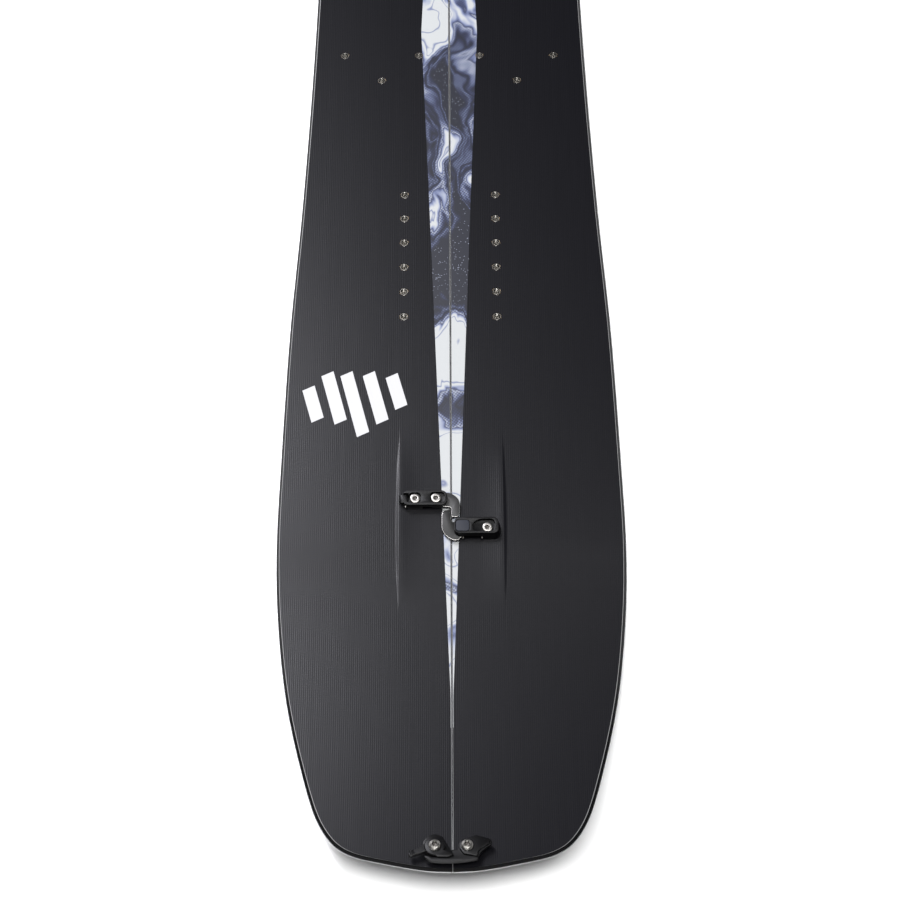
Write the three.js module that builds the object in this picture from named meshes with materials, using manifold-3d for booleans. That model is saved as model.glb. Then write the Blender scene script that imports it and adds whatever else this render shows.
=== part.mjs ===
// Splitboard: a snowboard sawn along its length into two skis, held together by two seam clips
// with interlocking hooks and by a swinging bar and lever at the nose and the tail.
// Millimetres, +Z up, the nose at -Y, the base on z = 0, the seam in the plane x = 0.
// "s" is the distance from the nose tip along Y, and "h" a height above a surface.
import * as THREE from 'three';
import { mergeVertices } from 'three/addons/utils/BufferGeometryUtils.js';
import Module from 'manifold-3d';

const wasm = await Module();
wasm.setup();

// ---------------------------------------------------------------- driving dimensions
const LENGTH = 1584;
const SEAM_HALF_GAP = 0.3;
const THICKNESS = { middle: 8.2, tip: 4.6 };
const NOSE = { rocker: 37.7, rise: 282 }; // height of the tip, and the length over which it rises
const TAIL = { rocker: 26.2, rise: 242 };
const ROCKER_POWER = 2.1;
// Half the board's outline from the nose to the tail: half width, s.
const OUTLINE = [
  [0, 0], [20, 1.1], [50, 6.6], [76, 13], [88, 19.4], [96.5, 28], [106.4, 45], [120.4, 89],
  [134.6, 150], [143.8, 222], [146.8, 282], [145.6, 362], [141.7, 492], [134.6, 617], [128, 782],
  [124.3, 952], [124.8, 1072], [130.6, 1227], [137.4, 1377], [134.8, 1432], [126.2, 1482],
  [113.2, 1524], [98, 1551], [87, 1565], [76, 1571.6], [50, 1577.9], [20, 1583], [0, 1584],
];
// Distances between the outline's stations, and how far along the outline the short ones reach.
const STEP = { corner: 13, nose: 42, middle: 130 };
const STEP_REACH = { corner: 150, nose: 420 };
const MIN_STEP = 4; // stations beside the seam are further apart than this
const CURVE_SAMPLES = 4000;
const EDGE = { width: 2, height: 1.8 };
const BASE = { thick: 1.4, inset: 2.15 };
const SIDEWALL = { inner: 6.3, bevel: 2.6, proud: 0.3, innerWide: 3.3 };
const TOPSHEET = { thick: 0.6, inset: 2.7 };
const GLUE = 0.15; // left between bonded layers
const CORE = { inset: SIDEWALL.inner + GLUE, seam: SIDEWALL.innerWide + GLUE };

const PITCH = 25.4; // of the binding inserts
const PACK = { x: 41.2, count: 6, front: 502.1, rear: 1062.1 };
const TOURING = { x: 63.3, half: 34.9, s: 784.6, back: 28.6 };
const RISER = { x: 63.3, s: [1052, 1090] };
const INSERT = { flange: 8, plate: 0.9, bottom: 1.6, top: 8.15, barrel: 3.6, bore: 2.6, floor: 3.0 };
const CLEAR = 0.3;

const SEAM_CLIP_S = { front: 310.6, rear: LENGTH - 310.6 };
const END_CLIP_S = { nose: 16.5, tail: LENGTH - 16.5 };
const SCREW = { shank: 2.9, head: 4.3, depth: -4.2, bore: 3.3, headBore: 4.7, skiBore: 3.5 };
const HOOK = { bottom: 1.5, top: 4.5, hub: 6.3, bore: 3.25 };
const SCREW_SHARE = 0.62; // a clip screw's hole goes this far through the ski
const OVER = 12; // a height above every cover, for the tools that cut them

// Lever side of a seam clip, in the clip's own frame: x across the seam, y towards the tail.
const LEVER_BODY = {
  x0: -41, x1: -3.2, y0: 5.6, y1: 18.8, top: 9.6, cover: 4.8, corner: 5.6, footEnd: -24,
};
const LEVER_SCREWS = { outer: [-30.4, 12.1], inner: [-12.8, 12.5] };
const LEVER = {
  pin: [-38.2, 4.6], half: 3.7, hub: 2.5, notch: 4.1, notchEnd: -35.4, reach: -44, pinRadius: 1.1, bore: 1.45,
};
const HOOK_TRAVEL = 2; // the left claw moves this far when the lever is thrown
// Button side.
const BUTTON_BODY = {
  x0: 2.6, x1: 41.3, y0: -22.6, y1: -6, top: 10, cover: 4.8, corner: 5.6, footStart: 26,
};
const PIVOT = [9.4, -13.8];
const BODY_SCREW = [30.2, -14.6];
const BUTTON = { x: 9.4, y: -13.8, wide: 11.2, deep: 10, bottom: 8.4, top: 10.4, corner: 2.4 };

// End clips, in the clip's own frame.
const END = {
  lever: [-13.7, 0], bar: [11, 0], // the two screws
  baseTop: 4.3, lift: 4.6, barTop: 8.1, toothLow: 8.9, hubTop: 9.9, // heights
  hubRadius: 8, gap: 0.8, spacer: 6.4, head: 4.7, headHigh: 3.2,
};

const COLOURS = {
  topsheet: [0x2b2b2e, 0.45, 0], core: [0xc9a46b, 0.8, 0], base: [0x16181c, 0.35, 0],
  abs: [0x8d8f92, 0.5, 0], steel: [0x8f9194, 0.35, 0.9], insert: [0xb9b6ad, 0.3, 1],
  body: [0x141415, 0.5, 0.1], hook: [0x5d5e5f, 0.45, 0.8], button: [0x232833, 0.7, 0],
  screw: [0xc4c1b8, 0.25, 1],
};

// ---------------------------------------------------------------- the board's surfaces
const rise = (fromTip, end) => {
  const share = THREE.MathUtils.clamp((end.rise - fromTip) / end.rise, 0, 1);
  return end.rocker * share ** ROCKER_POWER;
};
const underside = (s) => rise(s, NOSE) + rise(LENGTH - s, TAIL);
const thickness = (s) => {
  const share = Math.min(1, s / NOSE.rise, (LENGTH - s) / NOSE.rise);
  return THICKNESS.tip + (THICKNESS.middle - THICKNESS.tip) * share;
};
const topside = (s) => underside(s) + thickness(s);
const yAt = (s) => s - LENGTH / 2;

// Stations on the outline with their inward normals, close together where it bends most.
function outlineStations() {
  const points = OUTLINE.map(([w, s]) => new THREE.Vector3(w, s, 0));
  const curve = new THREE.CatmullRomCurve3(points, false, 'centripetal');
  curve.arcLengthDivisions = CURVE_SAMPLES;
  const total = curve.getLength();
  const stations = [];
  for (let at = 0; at < total; ) {
    const fromEnd = Math.min(at, total - at);
    stations.push(at / total);
    if (fromEnd < STEP_REACH.corner) at += STEP.corner;
    else at += fromEnd < STEP_REACH.nose ? STEP.nose : STEP.middle;
  }
  stations.push(1);
  return stations.map((u, i) => {
    const p = curve.getPointAt(u);
    const t = curve.getTangentAt(u);
    const atSeam = i === 0 || i === stations.length - 1;
    const normal = atSeam ? new THREE.Vector2(0, i === 0 ? 1 : -1) : new THREE.Vector2(-t.y, t.x);
    return { w: Math.max(p.x, SEAM_HALF_GAP), s: p.y, normal };
  });
}
const STATIONS = outlineStations();
const inset = (station, by) => ({
  w: station.w + station.normal.x * by,
  s: station.s + station.normal.y * by,
});

// ---------------------------------------------------------------- solids
function signedVolume(positions, indices) {
  const [a, b, c] = [new THREE.Vector3(), new THREE.Vector3(), new THREE.Vector3()];
  let six = 0;
  for (let i = 0; i < indices.length; i += 3) {
    a.fromArray(positions, indices[i] * 3);
    b.fromArray(positions, indices[i + 1] * 3);
    c.fromArray(positions, indices[i + 2] * 3);
    six += a.dot(b.cross(c));
  }
  return six / 6;
}

// A closed solid through a row of convex sections with the same number of corners.
function loft(sections) {
  const corners = sections[0].length;
  const positions = sections.flat().flatMap((p) => [p.x, p.y, p.z]);
  const indices = [];
  for (let i = 0; i + 1 < sections.length; i++) {
    for (let k = 0; k < corners; k++) {
      const [a, b] = [i * corners + k, i * corners + ((k + 1) % corners)];
      indices.push(a, b, b + corners, a, b + corners, a + corners);
    }
  }
  const last = (sections.length - 1) * corners;
  for (let k = 1; k + 1 < corners; k++) {
    indices.push(0, k + 1, k, last, last + k, last + k + 1);
  }
  if (signedVolume(positions, indices) < 0) indices.reverse();
  const geometry = new THREE.BufferGeometry();
  geometry.setAttribute('position', new THREE.Float32BufferAttribute(positions, 3));
  geometry.setIndex(indices);
  return geometry;
}

function toManifold(geometry) {
  const plain = geometry.clone();
  plain.deleteAttribute('normal');
  plain.deleteAttribute('uv');
  const merged = mergeVertices(plain, 1e-4);
  const mesh = new wasm.Mesh({
    numProp: 3,
    vertProperties: merged.attributes.position.array,
    triVerts: new Uint32Array(merged.index.array),
  });
  return new wasm.Manifold(mesh);
}

function fromManifold(solid) {
  const mesh = solid.getMesh();
  const geometry = new THREE.BufferGeometry();
  geometry.setAttribute('position', new THREE.BufferAttribute(mesh.vertProperties, 3));
  geometry.setIndex(new THREE.BufferAttribute(mesh.triVerts, 1));
  return geometry;
}

const cut = (geometry, tools) =>
  fromManifold(tools.reduce((solid, tool) => solid.subtract(toManifold(tool)), toManifold(geometry)));
const join = (first, ...others) =>
  fromManifold(others.reduce((solid, piece) => solid.add(toManifold(piece)), toManifold(first)));

// An outline in the xy plane pulled up from height h0 to h1.
const slab = (shape, h0, h1, curveSegments = 6) =>
  new THREE.ExtrudeGeometry(shape, { depth: h1 - h0, bevelEnabled: false, curveSegments }).translate(0, 0, h0);
const post = (x, y, radius, h0, h1, sides = 10) =>
  new THREE.CylinderGeometry(radius, radius, h1 - h0, sides)
    .rotateX(Math.PI / 2).translate(x, y, (h0 + h1) / 2);
const block = (x0, x1, y0, y1, h0, h1) =>
  new THREE.BoxGeometry(x1 - x0, y1 - y0, h1 - h0).translate((x0 + x1) / 2, (y0 + y1) / 2, (h0 + h1) / 2);

function roundedRectangle(x0, x1, y0, y1, r) {
  const shape = new THREE.Shape();
  shape.moveTo(x0 + r, y0).lineTo(x1 - r, y0);
  shape.absarc(x1 - r, y0 + r, r, -Math.PI / 2, 0);
  shape.absarc(x1 - r, y1 - r, r, 0, Math.PI / 2);
  shape.absarc(x0 + r, y1 - r, r, Math.PI / 2, Math.PI);
  shape.absarc(x0 + r, y0 + r, r, Math.PI, 1.5 * Math.PI);
  return shape;
}

// ---------------------------------------------------------------- the two skis
const at = (side, x, s, h) => new THREE.Vector3(side * x, yAt(s), underside(s) + h);

// A layer from the seam out to the inset outline, between two heights given as functions of s.
function sheet(side, seam, by, bottom, top) {
  const sections = STATIONS.map((station) => inset(station, by))
    .filter((p) => p.w > seam + 6)
    .map(({ w, s }) => [
      at(side, seam, s, bottom(s)), at(side, w, s, bottom(s)),
      at(side, w, s, top(s)), at(side, seam, s, top(s)),
    ]);
  return loft(sections);
}

// A rail that follows the outline, with its corners given as [inset, height as a function of s].
function rail(side, corners) {
  return loft(STATIONS.map((station) => corners.map(([by, height]) => {
    const { w, s } = inset(station, by);
    return at(side, w, s, height(s));
  })));
}

// A rail beside the seam.
function seamRail(side, x0, x1, end, bottom, top) {
  const between = STATIONS.map(({ s }) => s).filter((s) => s > end + MIN_STEP && s < LENGTH - end - MIN_STEP);
  const stops = [end, ...between, LENGTH - end];
  const spread = stops.filter((s, i) => i === 0 || i === stops.length - 1 || s - stops[i - 1] > MIN_STEP);
  return loft(spread.map((s) => [
    at(side, x0, s, bottom(s)), at(side, x1, s, bottom(s)), at(side, x1, s, top(s)), at(side, x0, s, top(s)),
  ]));
}

const coreTop = (s) => thickness(s) - TOPSHEET.thick - GLUE;
const packRow = (start) => Array.from({ length: PACK.count }, (_, i) => [PACK.x, start + i * PITCH]);
const INSERT_GROUPS = {
  front_binding_inserts: packRow(PACK.front),
  rear_binding_inserts: packRow(PACK.rear),
  touring_inserts: [
    [TOURING.x - TOURING.half, TOURING.s],
    [TOURING.x + TOURING.half, TOURING.s],
    [TOURING.x, TOURING.s - TOURING.back],
  ],
  riser_inserts: RISER.s.map((s) => [RISER.x, s]),
};

// The plate under a group of inserts: a box round their centres, grown by the flange.
function insertPlate(side, points, grow, h0, h1) {
  const xs = points.map(([x]) => side * x);
  const ys = points.map(([, s]) => yAt(s));
  const reach = INSERT.flange + grow;
  return block(
    Math.min(...xs) - reach, Math.max(...xs) + reach, Math.min(...ys) - reach, Math.max(...ys) + reach, h0, h1);
}

// A plate with one threaded barrel for each insert, open at the topsheet.
function insertStrip(side, points) {
  const flat = insertPlate(side, points, 0, INSERT.bottom, INSERT.bottom + INSERT.plate);
  const barrels = points.map(([x, s]) => {
    const profile = [
      [0, INSERT.bottom], [INSERT.barrel, INSERT.bottom], [INSERT.barrel, INSERT.top],
      [INSERT.bore, INSERT.top], [INSERT.bore, INSERT.floor], [0, INSERT.floor],
    ];
    return new THREE.LatheGeometry(profile.map(([r, h]) => new THREE.Vector2(r, h)), 8)
      .rotateX(Math.PI / 2).translate(side * x, yAt(s), 0);
  });
  return join(flat, ...barrels);
}

// Where screws go down into a ski: [x, s].
function screwPlaces(side) {
  const places = [];
  const add = (end, [x, y], s0) => {
    const [px, ps] = end === 'front' || end === 'nose' ? [x, s0 + y] : [-x, s0 - y];
    if (Math.sign(px) === side) places.push([px, ps]);
  };
  for (const [end, s0] of Object.entries(SEAM_CLIP_S)) {
    for (const place of [LEVER_SCREWS.outer, LEVER_SCREWS.inner, PIVOT, BODY_SCREW]) add(end, place, s0);
  }
  for (const [end, s0] of Object.entries(END_CLIP_S)) {
    for (const place of [END.lever, END.bar]) add(end, place, s0);
  }
  return places;
}

// Clearance holes for those screws, square to the surface that each screw stands on.
function screwHoles(side) {
  return screwPlaces(side).map(([x, s]) => post(0, 0, SCREW.skiBore, -SCREW_SHARE * thickness(s), OVER, 8)
    .rotateX(Math.atan(topSlope(s))).translate(x, yAt(s), topside(s)));
}
function topSlope(s) {
  return (topside(s + 1) - topside(s - 1)) / 2;
}

function skiParts(side) {
  const flat = (h) => () => h;
  const sheetBottom = (s) => thickness(s) - TOPSHEET.thick;
  const holes = screwHoles(side);
  const groups = Object.values(INSERT_GROUPS);
  const bores = (radius, h0, h1) =>
    groups.flat().map(([x, s]) => post(side * x, yAt(s), radius, h0, h1, 8));
  const pockets = groups.map((points) =>
    insertPlate(side, points, CLEAR, 0, INSERT.bottom + INSERT.plate + CLEAR));
  const parts = {
    topsheet: ['topsheet', cut(sheet(side, SEAM_HALF_GAP, TOPSHEET.inset, sheetBottom, thickness),
      [...bores(INSERT.barrel + CLEAR, INSERT.bottom, OVER), ...holes])],
    core: ['core', cut(sheet(side, CORE.seam, CORE.inset, flat(BASE.thick + GLUE), coreTop),
      [...pockets, ...bores(INSERT.barrel + CLEAR, INSERT.bottom, OVER), ...holes])],
    base: ['base', sheet(side, SEAM_HALF_GAP + BASE.inset, BASE.inset, flat(0), flat(BASE.thick))],
    outer_edge: ['steel', rail(side, [
      [0, flat(0)], [EDGE.width, flat(0)], [EDGE.width, flat(EDGE.height)], [0, flat(EDGE.height)]])],
    inner_edge: ['steel', seamRail(side, SEAM_HALF_GAP, SEAM_HALF_GAP + EDGE.width, EDGE.width + GLUE,
      flat(0), flat(EDGE.height))],
    outer_sidewall: ['abs', rail(side, [
      [SIDEWALL.proud, flat(EDGE.height + GLUE)], [SIDEWALL.inner, flat(EDGE.height + GLUE)],
      [SIDEWALL.inner, coreTop], [SIDEWALL.bevel, coreTop]])],
    inner_sidewall: ['abs', seamRail(side, SEAM_HALF_GAP, SIDEWALL.innerWide, SIDEWALL.inner + GLUE,
      flat(EDGE.height + GLUE), coreTop)],
  };
  for (const [name, points] of Object.entries(INSERT_GROUPS)) {
    parts[name] = ['insert', insertStrip(side, points)];
  }
  return parts;
}

// ---------------------------------------------------------------- screws
// Turned round its own axis: a domed or flat head on a plain shank, with a hexagon socket.
function screw([x, y], { head, headHigh, seat, dome, shank = SCREW.shank, depth = SCREW.depth }) {
  const profile = [[0, depth], [shank, depth], [shank, seat], [head, seat]];
  if (dome) profile.push([head * 0.93, seat + headHigh * 0.45], [head * 0.68, seat + headHigh * 0.85]);
  else profile.push([head, seat + headHigh - 0.5], [head - 0.5, seat + headHigh]);
  profile.push([head * 0.4, seat + headHigh], [0, seat + headHigh]);
  const turned = new THREE.LatheGeometry(profile.map(([r, h]) => new THREE.Vector2(r, h)), 10)
    .rotateX(Math.PI / 2);
  const socket = post(0, 0, head * 0.4, seat + headHigh * 0.35, seat + headHigh + 1, 6);
  return cut(turned, [socket]).translate(x, y, 0);
}

// ---------------------------------------------------------------- seam clip
// Left claw: a slotted plate on the inner screw, an arm over the seam and a tip that points to the nose.
function leverHook() {
  const [px, py] = LEVER_SCREWS.inner;
  const { hub: r, bore: hole } = HOOK;
  const shape = new THREE.Shape();
  shape.absarc(px - HOOK_TRAVEL, py, r, Math.PI / 2, 1.5 * Math.PI);
  shape.lineTo(-3.5, 5.8).quadraticCurveTo(0.25, 5.8, 0.25, 3).lineTo(0.25, -2.4);
  shape.quadraticCurveTo(0.4, -3.4, 1.4, -3.4).lineTo(5, -3.4).quadraticCurveTo(6.2, -3.2, 6.5, -1);
  shape.lineTo(7.3, 7.6).quadraticCurveTo(7.3, 15.5, -2.2, py + r);
  shape.closePath();
  const slot = new THREE.Path().absarc(px, py, hole, -Math.PI / 2, Math.PI / 2);
  slot.absarc(px - HOOK_TRAVEL - CLEAR, py, hole, Math.PI / 2, 1.5 * Math.PI);
  shape.holes.push(slot);
  return slab(shape, HOOK.bottom, HOOK.top, 5);
}

// Right claw: pivots on the screw under the button, its tip pointing to the tail on the far side of the seam.
function buttonHook() {
  const [px, py] = PIVOT;
  const r = HOOK.hub;
  const shape = new THREE.Shape();
  shape.moveTo(px, py + r);
  shape.lineTo(4.6, -8.2).quadraticCurveTo(-0.25, -8.6, -0.25, -5.6).lineTo(-0.25, 1.6);
  shape.quadraticCurveTo(-0.4, 3.2, -2.2, 3.2).lineTo(-5.4, 2.6).quadraticCurveTo(-7.6, 1.8, -8, -2);
  shape.lineTo(-8.1, -12).quadraticCurveTo(-7.6, -21, 2.5, -24.8).lineTo(6, -24.4).lineTo(px, py - r);
  shape.absarc(px, py, r, -Math.PI / 2, Math.PI / 2);
  shape.holes.push(new THREE.Path().absarc(px, py, HOOK.bore, 0, 2 * Math.PI));
  return slab(shape, HOOK.bottom, HOOK.top, 5);
}

// A cover over the hook, with a foot on the topsheet at its outer end.
function leverBody() {
  const { x0, x1, y0, y1, top, cover, corner, footEnd } = LEVER_BODY;
  const middle = (y0 + y1) / 2;
  const shell = slab(roundedRectangle(x0, x1, y0, y1, corner), CLEAR, top, 4);
  const bores = Object.values(LEVER_SCREWS).flatMap(([x, y]) => [
    post(x, y, SCREW.bore, -1, OVER), post(x, y, SCREW.headBore, cover + 1, OVER, 16)]);
  const notch = block(x0 - OVER, LEVER.notchEnd, middle - LEVER.notch, middle + LEVER.notch, -1, OVER);
  const [pinX, pinH] = LEVER.pin;
  const pinHole = new THREE.CylinderGeometry(LEVER.pinRadius + CLEAR, LEVER.pinRadius + CLEAR, 40, 10)
    .translate(pinX, middle, pinH);
  const under = block(footEnd, x1 + OVER, y0 - OVER, y1 + OVER, -1, cover);
  return cut(shell, [under, notch, pinHole, ...bores]);
}

// A thumb lever on a pin across the body's outer end.
function lever() {
  const middle = (LEVER_BODY.y0 + LEVER_BODY.y1) / 2;
  const [pinX, pinH] = LEVER.pin;
  const side = new THREE.Shape();
  side.moveTo(pinX, pinH + LEVER.hub).lineTo(pinX - 3.2, pinH + 2.1);
  side.quadraticCurveTo(LEVER.reach, pinH + 1.6, LEVER.reach, pinH);
  side.quadraticCurveTo(LEVER.reach, pinH - 1.5, pinX - 3.2, pinH - 1.4).lineTo(pinX, pinH - LEVER.hub);
  side.absarc(pinX, pinH, LEVER.hub, -Math.PI / 2, Math.PI / 2);
  side.holes.push(new THREE.Path().absarc(pinX, pinH, LEVER.bore, 0, 2 * Math.PI));
  return slab(side, -LEVER.half, LEVER.half, 6).rotateX(Math.PI / 2).translate(0, middle, 0);
}

function leverPin() {
  const { y0, y1 } = LEVER_BODY;
  const [pinX, pinH] = LEVER.pin;
  return new THREE.CylinderGeometry(LEVER.pinRadius, LEVER.pinRadius, y1 - y0 + 0.8, 12)
    .translate(pinX, (y0 + y1) / 2, pinH);
}

// The cover over the other hook: a deep finger recess with the body screw in it, and a well for the button.
function buttonBody() {
  const { x0, x1, y0, y1, top, cover, corner, footStart } = BUTTON_BODY;
  const shell = slab(roundedRectangle(x0, x1, y0, y1, corner), CLEAR, top, 4);
  const under = block(x0 - OVER, footStart, y0 - OVER, y1 + OVER, -1, cover);
  const recess = new THREE.Shape();
  recess.moveTo(17.6, -14).quadraticCurveTo(20, -7.6, 27, -7.5).lineTo(33.4, -7.5);
  recess.quadraticCurveTo(36.6, -8, 36.8, -12).quadraticCurveTo(36.8, -18.6, 34, -19.2).lineTo(20, -19.4);
  recess.quadraticCurveTo(17.6, -19, 17.6, -14);
  const { x, y, wide, deep, corner: r } = BUTTON;
  const w = wide / 2 + CLEAR;
  const d = deep / 2 + CLEAR;
  const well = roundedRectangle(x - w, x + w, y - d, y + d, r);
  return cut(shell, [
    under, slab(recess, cover + 1.2, OVER, 5), slab(well, cover + 1, OVER, 4),
    post(...PIVOT, SCREW.bore, -1, OVER), post(...BODY_SCREW, SCREW.bore, -1, OVER)]);
}

function button() {
  const { x, y, wide, deep, bottom, top, corner } = BUTTON;
  const w = wide / 2;
  const d = deep / 2;
  return slab(roundedRectangle(x - w, x + w, y - d, y + d, corner), bottom, top, 4);
}

function seamClipParts() {
  const low = LEVER_BODY.cover + 1 + CLEAR;
  const flatHead = { head: SCREW.head, headHigh: 2.4, seat: low };
  return {
    lever_body: ['body', leverBody()],
    lever_hook: ['hook', leverHook()],
    lever: ['body', lever()],
    lever_pin: ['screw', leverPin()],
    outer_screw: ['screw', screw(LEVER_SCREWS.outer, flatHead)],
    inner_screw: ['screw', screw(LEVER_SCREWS.inner, flatHead)],
    button_body: ['body', buttonBody()],
    button_hook: ['hook', buttonHook()],
    button: ['button', button()],
    pivot_screw: ['screw', screw(PIVOT, { head: 4.4, headHigh: 1, seat: low })],
    body_screw: ['screw', screw(BODY_SCREW, { head: SCREW.head, headHigh: 2.6, seat: low + 0.2 })],
  };
}

// ---------------------------------------------------------------- nose and tail clips
// The bar swings round its own screw, crosses the seam and passes in front of the lever's hub.
function endBar() {
  const [lx, ly] = END.lever;
  const [bx, by] = END.bar;
  const hollow = END.hubRadius + END.gap;
  const angle = (degrees) => THREE.MathUtils.degToRad(degrees);
  const shape = new THREE.Shape();
  shape.moveTo(-22, -7.6);
  shape.lineTo(lx + hollow * Math.cos(angle(-122)), ly + hollow * Math.sin(angle(-122)));
  shape.absarc(lx, ly, hollow, angle(-122), angle(-38));
  shape.lineTo(-1, -2.6).lineTo(4.6, -2.6).lineTo(4.6, 2);
  shape.quadraticCurveTo(bx - 5, by + 7, bx + 1.5, by + 7.4).lineTo(18, 10.1);
  shape.lineTo(29, 6.6).quadraticCurveTo(31, 4.6, 29, 1.7).lineTo(23.6, -2);
  shape.quadraticCurveTo(20.6, -5.4, 19, -10.2).lineTo(16, -11);
  shape.quadraticCurveTo(-0.5, -14, -15, -12.2).quadraticCurveTo(-19, -11.4, -22, -7.6);
  const raised = new THREE.Shape();
  raised.moveTo(bx - 6, by - 2.4).lineTo(bx - 3, by - 7).lineTo(18.4, -9).lineTo(20.4, -3.4);
  raised.lineTo(28.4, 2.2).lineTo(28.4, 6.2).lineTo(18, 9.6).lineTo(bx - 1, by + 6.6).lineTo(bx - 6, by + 2.6);
  const hole = post(bx, by, SCREW.bore, 0, OVER);
  return cut(join(slab(shape, END.lift, END.barTop, 6), slab(raised, END.barTop - 1, END.hubTop)), [hole]);
}

// A round hub with a tapering arm, and a tooth that reaches over the bar and holds it down.
function endLever() {
  const [lx, ly] = END.lever;
  const low = END.baseTop + CLEAR;
  const hub = post(lx, ly, END.hubRadius, low, END.hubTop, 20);
  const arm = new THREE.Shape();
  arm.moveTo(lx - 4, ly + 5).lineTo(-29.6, -3.4).lineTo(-32.6, -3).lineTo(-34, -7).lineTo(-31.4, -8.6);
  arm.lineTo(-29.8, -7.4).lineTo(-21, -4.4).lineTo(lx - 4, ly - 4.4);
  const tooth = new THREE.Shape();
  tooth.moveTo(lx, ly).lineTo(lx + 6.4, ly - 3.4).lineTo(lx + 13, ly - 4).lineTo(lx + 14.6, ly - 7.6);
  tooth.lineTo(lx + 10, ly - 9.6).lineTo(lx + 2, ly - 9.4).lineTo(lx - 2, ly - 6);
  const hole = post(lx, ly, SCREW.bore, 0, OVER);
  return cut(join(hub, slab(arm, low, END.hubTop - 0.8), slab(tooth, END.toothLow, END.hubTop)), [hole]);
}

// The pad under the lever: a lobe towards the tail and a flank that runs down to the seam.
function leverBase() {
  const [lx, ly] = END.lever;
  const shape = new THREE.Shape();
  shape.moveTo(lx - 9.2, ly + 2);
  shape.absarc(lx, ly + 3.6, 9.2, Math.PI, 0.25 * Math.PI, true);
  shape.lineTo(-1.4, -0.6).lineTo(-4, -3.1).lineTo(-8.6, -5.6);
  shape.lineTo(lx, ly - 7.2).lineTo(lx - 6.6, ly - 4.2);
  return cut(slab(shape, CLEAR + 0.1, END.baseTop, 6), [post(lx, ly, SCREW.bore, -1, OVER)]);
}

function barSpacer() {
  const [x, y] = END.bar;
  const disc = post(x, y, END.spacer, CLEAR + 0.1, END.lift - CLEAR, 16);
  return cut(disc, [post(x, y, SCREW.bore, -1, OVER)]);
}

function endClipParts() {
  const head = { head: END.head, headHigh: END.headHigh, seat: END.hubTop + CLEAR, dome: true, depth: -2.8 };
  return {
    lever: ['body', endLever()],
    lever_base: ['body', leverBase()],
    lever_screw: ['screw', screw(END.lever, head)],
    bar: ['body', endBar()],
    bar_spacer: ['body', barSpacer()],
    bar_screw: ['screw', screw(END.bar, head)],
  };
}

// ---------------------------------------------------------------- assembly
const splitboard = new THREE.Group();
const materials = Object.fromEntries(Object.entries(COLOURS).map(([name, [color, roughness, metalness]]) => [
  name, new THREE.MeshStandardMaterial({ color, roughness, metalness })]));

function addParts(group, prefix, parts) {
  for (const [name, [material, geometry]] of Object.entries(parts)) {
    const mesh = new THREE.Mesh(geometry, materials[material]);
    mesh.name = `${prefix}_${name}`;
    group.add(mesh);
  }
  splitboard.add(group);
}

addParts(new THREE.Group(), 'left', skiParts(-1));
addParts(new THREE.Group(), 'right', skiParts(1));

// A clip's frame stands on the topsheet. The rear and tail clips are the front ones turned half round.
function clipFrame(s, turned) {
  const group = new THREE.Group();
  group.position.set(0, yAt(s), topside(s));
  group.rotation.order = 'ZXY';
  group.rotation.set(turned ? -Math.atan(topSlope(s)) : Math.atan(topSlope(s)), 0, turned ? Math.PI : 0);
  return group;
}
for (const [end, s] of Object.entries(SEAM_CLIP_S)) {
  addParts(clipFrame(s, end === 'rear'), end, seamClipParts());
}
for (const [end, s] of Object.entries(END_CLIP_S)) {
  addParts(clipFrame(s, end === 'tail'), end, endClipParts());
}

export default splitboard;
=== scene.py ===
"""The look of the splitboard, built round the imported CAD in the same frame.

Sizes are millimetres until a mesh is made. s is the distance from the nose tip along +Y.
"""
import math

import bmesh
import bpy
from mathutils import Matrix, Vector


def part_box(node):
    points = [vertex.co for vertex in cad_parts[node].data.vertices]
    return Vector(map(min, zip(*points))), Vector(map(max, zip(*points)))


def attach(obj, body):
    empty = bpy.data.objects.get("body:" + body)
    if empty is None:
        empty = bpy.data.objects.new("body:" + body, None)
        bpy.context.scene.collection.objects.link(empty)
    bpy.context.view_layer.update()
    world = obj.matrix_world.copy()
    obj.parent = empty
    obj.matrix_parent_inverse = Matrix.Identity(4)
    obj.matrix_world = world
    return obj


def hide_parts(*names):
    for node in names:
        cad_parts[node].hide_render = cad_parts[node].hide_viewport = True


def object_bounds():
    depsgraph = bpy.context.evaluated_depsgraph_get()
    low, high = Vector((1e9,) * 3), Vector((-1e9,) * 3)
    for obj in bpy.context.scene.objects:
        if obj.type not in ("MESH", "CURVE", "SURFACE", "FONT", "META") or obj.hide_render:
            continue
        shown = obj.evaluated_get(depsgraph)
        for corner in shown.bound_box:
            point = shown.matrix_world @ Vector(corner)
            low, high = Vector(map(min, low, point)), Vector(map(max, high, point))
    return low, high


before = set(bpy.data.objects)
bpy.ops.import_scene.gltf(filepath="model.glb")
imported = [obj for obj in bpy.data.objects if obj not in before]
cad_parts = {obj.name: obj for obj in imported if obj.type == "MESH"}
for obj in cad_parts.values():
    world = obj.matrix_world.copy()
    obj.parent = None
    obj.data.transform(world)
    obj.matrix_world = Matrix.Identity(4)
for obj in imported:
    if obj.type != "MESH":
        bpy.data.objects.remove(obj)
cad_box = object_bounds()

MM = 0.001
LOW, HIGH = (Vector(corner) / MM for corner in cad_box)
LENGTH = HIGH.y - LOW.y

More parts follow.
